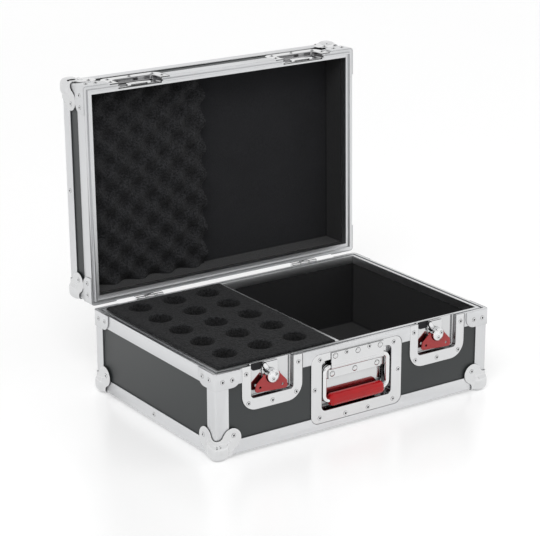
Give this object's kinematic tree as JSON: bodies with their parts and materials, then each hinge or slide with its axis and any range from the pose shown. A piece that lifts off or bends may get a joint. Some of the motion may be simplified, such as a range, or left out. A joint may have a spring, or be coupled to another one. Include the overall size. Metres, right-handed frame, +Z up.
{
  "type": "microphone case",
  "caption": "Aluminium-edged flight case with a hinged lid, recessed latches, a folding handle, microphone foam, a storage compartment and convoluted lid foam.",
  "frame": {"origin": "on the floor under the middle of the open case's bounding box", "axes": "+X to the right across the front, +Y from the front to the hinges, +Z up"},
  "size_m": [0.551, 0.468, 0.5235],
  "materials": {
    "aluminium": "satin",
    "nickel_steel": "bright",
    "chrome": "polished",
    "laminate": "textured laminate on plywood",
    "foam": "open-cell foam",
    "lining": "felt",
    "red_grip": "satin",
    "red_coating": "satin"
  },
  "bodies": {
    "base": {"base_bottom_panel": "laminate", "base_front_panel": "laminate", "base_back_panel": "laminate", "base_left_panel": "laminate", "base_right_panel": "laminate", "base_rim_frame": "aluminium", "base_bottom_angle_front": "aluminium", "base_bottom_angle_back": "aluminium", "base_bottom_angle_left": "aluminium", "base_bottom_angle_right": "aluminium", "base_corner_angle_front_left": "aluminium", "base_ball_corner_front_left": "nickel_steel", "base_corner_angle_front_right": "aluminium", "base_ball_corner_front_right": "nickel_steel", "base_corner_angle_back_left": "aluminium", "base_ball_corner_back_left": "nickel_steel", "base_corner_angle_back_right": "aluminium", "base_ball_corner_back_right": "nickel_steel", "mic_foam_block": "foam", "divider_panel": "laminate", "divider_cap": "aluminium", "base_lining": "lining", "handle_dish": "nickel_steel", "handle_clamp_plate": "nickel_steel", "latch_dish_left": "nickel_steel", "hinge_base_leaf_left": "nickel_steel", "latch_dish_right": "nickel_steel", "hinge_base_leaf_right": "nickel_steel"},
    "handle": {"handle_bail": "chrome", "handle_grip": "red_grip"},
    "latch_rotor_left": {"latch_rotor_left": "chrome"},
    "latch_wing_left": {"latch_wing_left": "red_coating"},
    "latch_hook_left": {"latch_hook_left": "chrome"},
    "latch_rotor_right": {"latch_rotor_right": "chrome"},
    "latch_wing_right": {"latch_wing_right": "red_coating"},
    "latch_hook_right": {"latch_hook_right": "chrome"},
    "lid": {"lid_top_panel": "laminate", "lid_front_panel": "laminate", "lid_back_panel": "laminate", "lid_left_panel": "laminate", "lid_right_panel": "laminate", "lid_rim_frame": "aluminium", "lid_top_angle_front": "aluminium", "lid_top_angle_back": "aluminium", "lid_top_angle_left": "aluminium", "lid_top_angle_right": "aluminium", "lid_corner_angle_front_left": "aluminium", "lid_ball_corner_front_left": "nickel_steel", "lid_corner_angle_front_right": "aluminium", "lid_ball_corner_front_right": "nickel_steel", "lid_corner_angle_back_left": "aluminium", "lid_ball_corner_back_left": "nickel_steel", "lid_corner_angle_back_right": "aluminium", "lid_ball_corner_back_right": "nickel_steel", "lid_lining": "lining", "lid_convoluted_foam": "foam", "keeper_dish_left": "nickel_steel", "hinge_lid_leaf_left": "nickel_steel", "keeper_dish_right": "nickel_steel", "hinge_lid_leaf_right": "nickel_steel"}
  },
  "joints": [
    {"name": "lid_hinge", "type": "hinge", "parent": "base", "child": "lid", "pos_m": [0, 0.14669, 0.144], "axis": [1, 0, 0], "range_deg": [0, 91]},
    {"name": "handle_swing", "type": "hinge", "parent": "base", "child": "handle", "pos_m": [0, -0.22451, 0.11], "axis": [-1, 0, 0], "range_deg": [0, 90]},
    {"name": "latch_turn_left", "type": "hinge", "parent": "base", "child": "latch_rotor_left", "pos_m": [-0.164, -0.22851, 0.121], "axis": [0, -1, 0], "range_deg": [0, 180]},
    {"name": "latch_fold_left", "type": "hinge", "parent": "latch_rotor_left", "child": "latch_wing_left", "pos_m": [-0.164, -0.22411, 0.121], "axis": [-1, 0, 0], "range_deg": [0, 90]},
    {"name": "latch_hook_slide_left", "type": "slide", "parent": "base", "child": "latch_hook_left", "axis": [0, 0, 1], "range_m": [0, 0.01]},
    {"name": "latch_turn_right", "type": "hinge", "parent": "base", "child": "latch_rotor_right", "pos_m": [0.164, -0.22851, 0.121], "axis": [0, -1, 0], "range_deg": [0, 180]},
    {"name": "latch_fold_right", "type": "hinge", "parent": "latch_rotor_right", "child": "latch_wing_right", "pos_m": [0.164, -0.22411, 0.121], "axis": [-1, 0, 0], "range_deg": [0, 90]},
    {"name": "latch_hook_slide_right", "type": "slide", "parent": "base", "child": "latch_hook_right", "axis": [0, 0, 1], "range_m": [0, 0.01]}
  ],
  "couplings": [
    {"joint": "latch_hook_slide_left", "follows": "latch_turn_left", "m_per_rad": 0.0031831},
    {"joint": "latch_hook_slide_right", "follows": "latch_turn_right", "m_per_rad": 0.0031831}
  ]
}
